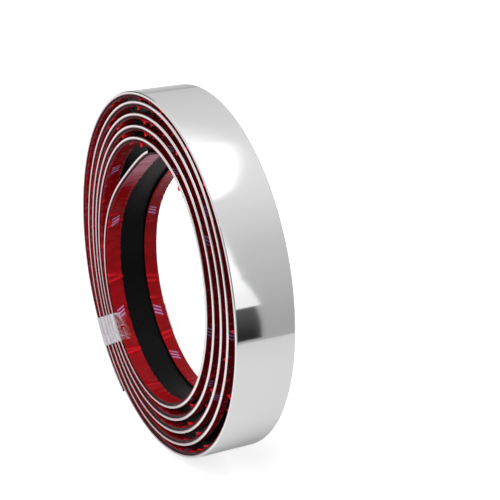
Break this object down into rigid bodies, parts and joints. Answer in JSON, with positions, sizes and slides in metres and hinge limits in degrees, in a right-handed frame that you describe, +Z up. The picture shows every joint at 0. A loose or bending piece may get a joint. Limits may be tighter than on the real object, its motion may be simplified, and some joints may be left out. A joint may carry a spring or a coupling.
{
  "type": "chrome trim strip",
  "caption": "Self-adhesive chrome trim strip wound chrome outward into a loose coil that stands on its rim, with red-lined foam tape on its black back and a loop of clear tape.",
  "frame": {"origin": "under the middle of the standing coil, on the surface that it stands on", "axes": "+Y along the coil's axis, from the front side to the rear side; +Z up"},
  "size_m": [0.153, 0.0252, 0.1508],
  "materials": {
    "chrome_face": "mirror chrome face and edges, matte black back",
    "grey_foam": "matte grey foam tape",
    "red_liner": "glossy red film, creased",
    "clear_tape": "clear adhesive tape, glossy"
  },
  "bodies": {
    "root": {"chrome_strip": "chrome_face", "foam_tape_front": "grey_foam", "foam_tape_rear": "grey_foam", "liner_front": "red_liner", "liner_rear": "red_liner", "holding_tape": "clear_tape"}
  },
  "joints": []
}
